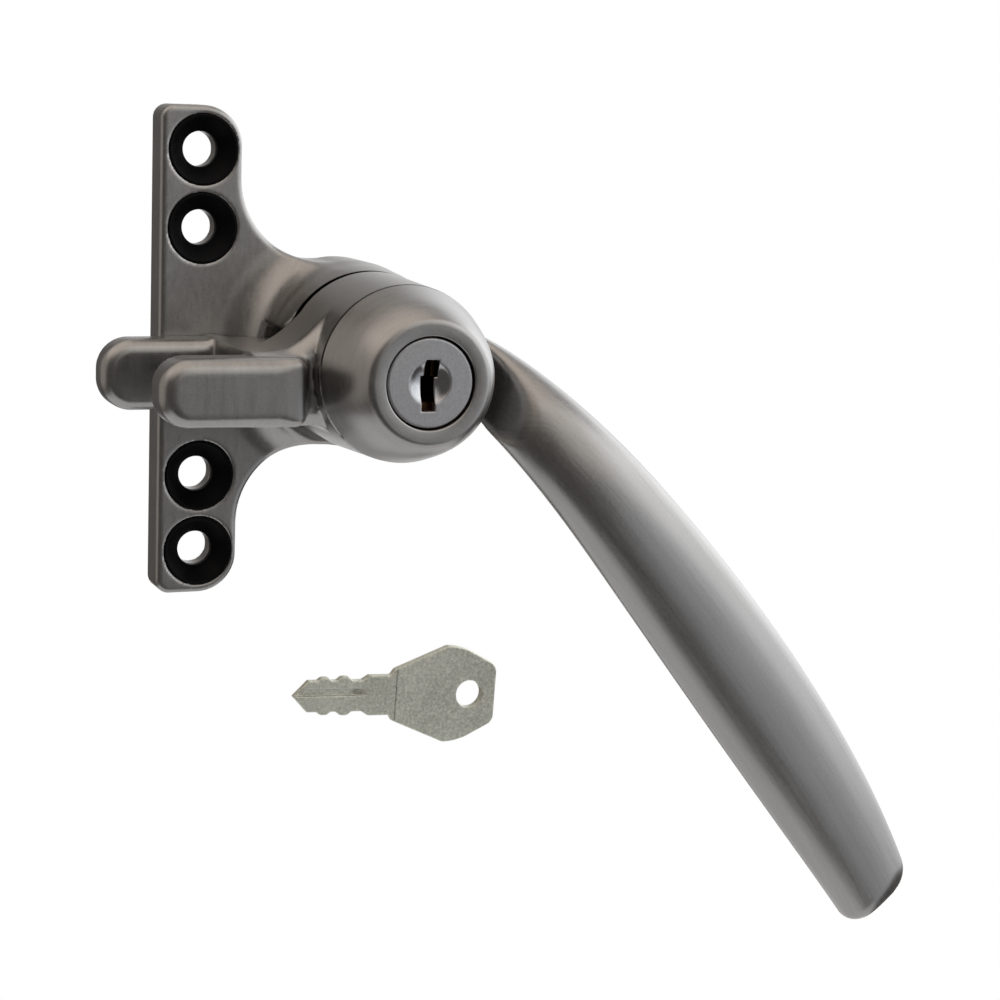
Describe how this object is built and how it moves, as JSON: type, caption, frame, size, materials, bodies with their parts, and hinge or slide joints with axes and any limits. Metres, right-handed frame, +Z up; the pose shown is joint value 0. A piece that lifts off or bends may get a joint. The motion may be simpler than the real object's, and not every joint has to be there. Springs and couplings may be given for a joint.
{
  "type": "locking window handle",
  "caption": "Wall-fixed window handle with a curved lever, a double nose, a push lock in its dome, and a loose key.",
  "frame": {"origin": "centre of the screw-hole pattern at the plate's back face", "axes": "+Z up along the plate, +Y into the window frame that the plate is screwed to, +X from the screw holes towards the pivot"},
  "size_m": [0.1527, 0.0542, 0.1522],
  "materials": {
    "satin_nickel": "satin nickel plating, brushed",
    "lock_face": "satin",
    "black_cup": "semi-gloss moulded",
    "steel": "bright",
    "bronze": "sintered",
    "brass": "machined",
    "acetal": "moulded",
    "key_metal": "nickel plated, fine satin"
  },
  "bodies": {
    "base": {"base_plate": "satin_nickel", "screw_cup_1": "black_cup", "screw_cup_2": "black_cup", "screw_cup_3": "black_cup", "screw_cup_4": "black_cup", "pivot_spindle": "steel", "spindle_screw": "steel", "rear_washer": "acetal", "wave_washer": "steel", "front_washer": "acetal", "lock_dome": "satin_nickel", "barrel_stop_pin": "steel"},
    "lever": {"lever_casting": "satin_nickel", "hub_bush": "bronze"},
    "cylinder": {"lock_barrel": "brass", "lock_pin": "steel", "return_spring": "steel"},
    "plug": {"key_plug": "lock_face", "wafer_1": "brass", "wafer_2": "brass", "wafer_3": "brass", "wafer_4": "brass", "wafer_5": "brass", "wafer_springs": "steel", "plug_clip": "steel"},
    "loose_key": {"key": "key_metal"}
  },
  "joints": [
    {"name": "lever_turn", "type": "hinge", "parent": "base", "child": "lever", "pos_m": [0.0273, 0, 0], "axis": [0, -1, 0], "range_deg": [0, 60]},
    {"name": "cylinder_push", "type": "slide", "parent": "base", "child": "cylinder", "axis": [0, 1, 0], "range_m": [0, 0.0045], "stiffness_N_per_m": 300, "springref_m": -0.002, "deforming": ["return_spring"]},
    {"name": "plug_turn", "type": "hinge", "parent": "cylinder", "child": "plug", "pos_m": [0.0273, 0, 0], "axis": [0, 1, 0], "range_deg": [0, 90]},
    {"name": "key_lift", "type": "slide", "parent": "base", "child": "loose_key", "axis": [0, -1, 0], "range_m": [0, 0.04]}
  ]
}
